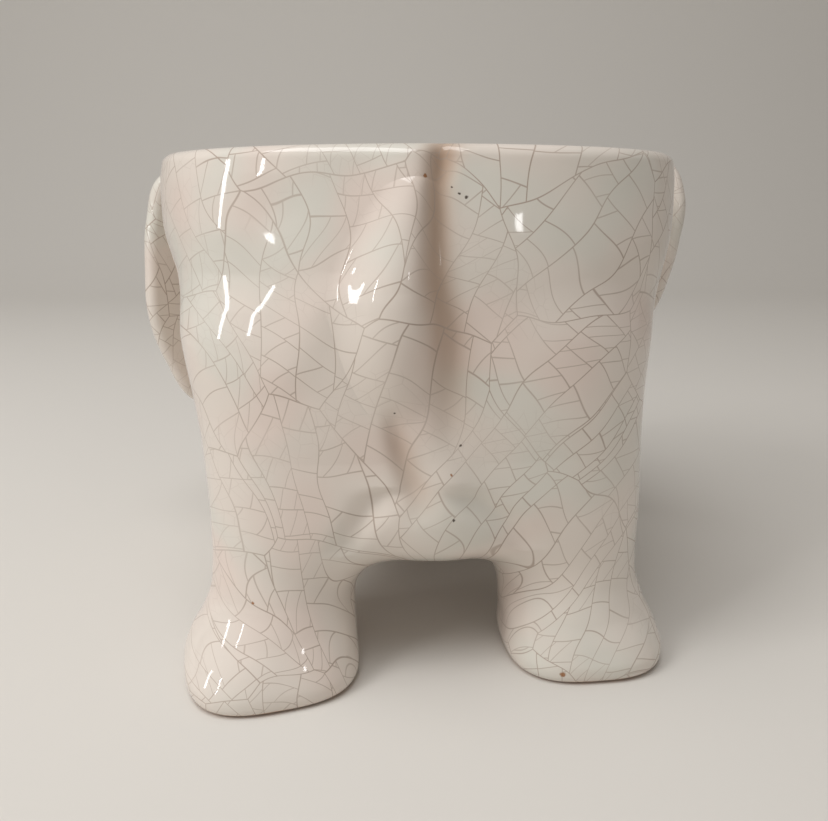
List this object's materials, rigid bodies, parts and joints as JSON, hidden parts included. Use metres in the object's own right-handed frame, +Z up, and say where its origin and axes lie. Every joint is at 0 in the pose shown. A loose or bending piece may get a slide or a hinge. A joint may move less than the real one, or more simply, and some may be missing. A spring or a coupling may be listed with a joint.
{
  "type": "elephant planter",
  "caption": "White crackle-glazed ceramic planter in the shape of a standing elephant, with an open pot in its back.",
  "frame": {"origin": "on the floor, under the middle of the whole elephant", "axes": "+Y is where the elephant looks, +X is its right side, +Z is up"},
  "size_m": [0.2021, 0.1961, 0.15],
  "materials": {
    "crackle_glaze": "glossy clear crackle glaze over off-white earthenware"
  },
  "bodies": {
    "root": {"pot": "crackle_glaze", "hind_leg_left": "crackle_glaze", "hind_leg_right": "crackle_glaze", "fore_leg_left": "crackle_glaze", "fore_leg_right": "crackle_glaze", "head": "crackle_glaze", "trunk": "crackle_glaze", "ear_left": "crackle_glaze", "ear_right": "crackle_glaze", "eye_left": "crackle_glaze", "eye_right": "crackle_glaze", "tail": "crackle_glaze"}
  },
  "joints": []
}
